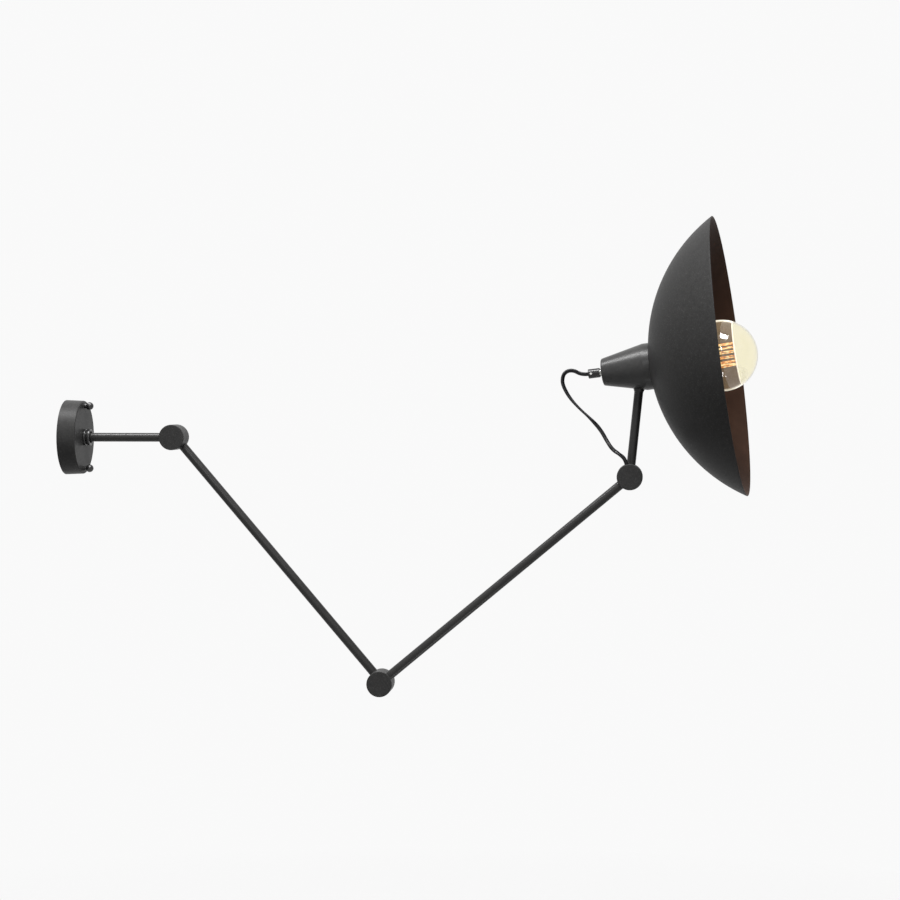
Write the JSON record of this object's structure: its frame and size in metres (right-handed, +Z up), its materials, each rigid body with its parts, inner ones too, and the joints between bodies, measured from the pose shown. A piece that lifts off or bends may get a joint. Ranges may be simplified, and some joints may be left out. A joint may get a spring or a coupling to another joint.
{
  "type": "articulating wall lamp",
  "caption": "Black articulating wall lamp: round canopy, swivel rod, two long tube arms on drum friction knuckles, and a dished shade round a half-mirrored globe bulb.",
  "frame": {"origin": "centre of the canopy's back, on the wall", "axes": "+X out of the wall along the swivel rod, +Z up, the arms at rest in the XZ plane with the knuckles' plain faces towards -Y"},
  "size_m": [0.9361, 0.3722, 0.6437],
  "materials": {
    "black_coat": "fine-texture black powder coat",
    "shade_coat": "fine-texture black powder coat outside, a warm dark brown inside in the bulb's light",
    "zinc_steel": "bright zinc plate",
    "terminal_plastic": "cream moulded polyamide",
    "washer_plastic": "black nylon",
    "gland_plastic": "smooth gloss black",
    "holder_plastic": "black phenolic moulding",
    "cord_pvc": "glossy black flexible PVC",
    "brass": "bright pressed brass",
    "nickel": "nickel-plated screw shell",
    "foot_insulator": "black glass insulator with a soldered tip",
    "smoked_glass": "clear smoky glass",
    "clear_glass": "clear glass",
    "gold_mirror": "pale gold mirror lining",
    "filament": "warm glowing strands"
  },
  "bodies": {
    "canopy_body": {"wall_bracket": "zinc_steel", "canopy": "black_coat", "canopy_studs": "zinc_steel", "ball_nuts": "black_coat", "terminal_block": "terminal_plastic", "terminal_screws": "zinc_steel", "collar_base": "black_coat", "collar_ring": "black_coat"},
    "rod_body": {"wall_rod": "black_coat", "rod_thread": "zinc_steel", "swivel_washer": "zinc_steel", "swivel_nut": "zinc_steel", "rod_lead": "cord_pvc", "shoulder_front_half": "black_coat", "shoulder_pivot": "zinc_steel", "shoulder_friction_washer": "washer_plastic", "shoulder_spring_washer": "zinc_steel", "shoulder_nut": "zinc_steel"},
    "upper_arm_body": {"shoulder_rear_half": "black_coat", "shoulder_rear_cap": "black_coat", "upper_arm": "black_coat", "upper_arm_lead": "cord_pvc", "elbow_rear_half": "black_coat", "elbow_rear_cap": "black_coat"},
    "fore_arm_body": {"elbow_front_half": "black_coat", "elbow_pivot": "zinc_steel", "elbow_friction_washer": "washer_plastic", "elbow_spring_washer": "zinc_steel", "elbow_nut": "zinc_steel", "fore_arm": "black_coat", "fore_arm_lead": "cord_pvc", "wrist_front_half": "black_coat", "wrist_pivot": "zinc_steel", "wrist_friction_washer": "washer_plastic", "wrist_spring_washer": "zinc_steel", "wrist_nut": "zinc_steel"},
    "head_body": {"wrist_rear_half": "black_coat", "wrist_rear_cap": "black_coat", "stem_tube": "black_coat", "stem_thread": "zinc_steel", "stem_nut": "zinc_steel", "head_cone": "black_coat", "head_nut": "zinc_steel", "head_thread": "zinc_steel", "cord_gland": "gland_plastic", "gland_screw": "zinc_steel", "head_lead": "cord_pvc", "holder_cap": "holder_plastic", "holder_body": "holder_plastic", "holder_shell": "brass", "holder_contact": "brass", "shade": "shade_coat", "shade_ring": "holder_plastic", "bulb_glass": "smoked_glass", "bulb_mirror": "gold_mirror", "bulb_base": "nickel", "bulb_foot": "foot_insulator", "filament_mount": "clear_glass", "filaments": "filament", "cord": "cord_pvc"}
  },
  "joints": [
    {"name": "wall_swivel", "type": "hinge", "parent": "canopy_body", "child": "rod_body", "pos_m": [0.0308, 0, 0], "axis": [1, 0, 0], "range_deg": [-90, 90]},
    {"name": "shoulder", "type": "hinge", "parent": "rod_body", "child": "upper_arm_body", "pos_m": [0.1468, 0, 0], "axis": [0, -1, 0], "range_deg": [-45, 140]},
    {"name": "elbow", "type": "hinge", "parent": "upper_arm_body", "child": "fore_arm_body", "pos_m": [0.43115, 0, -0.33117], "axis": [0, -1, 0], "range_deg": [-209, 31]},
    {"name": "wrist", "type": "hinge", "parent": "fore_arm_body", "child": "head_body", "pos_m": [0.76651, 0, -0.05177], "axis": [0, -1, 0], "range_deg": [-120, 95], "deforming": ["cord"]}
  ]
}
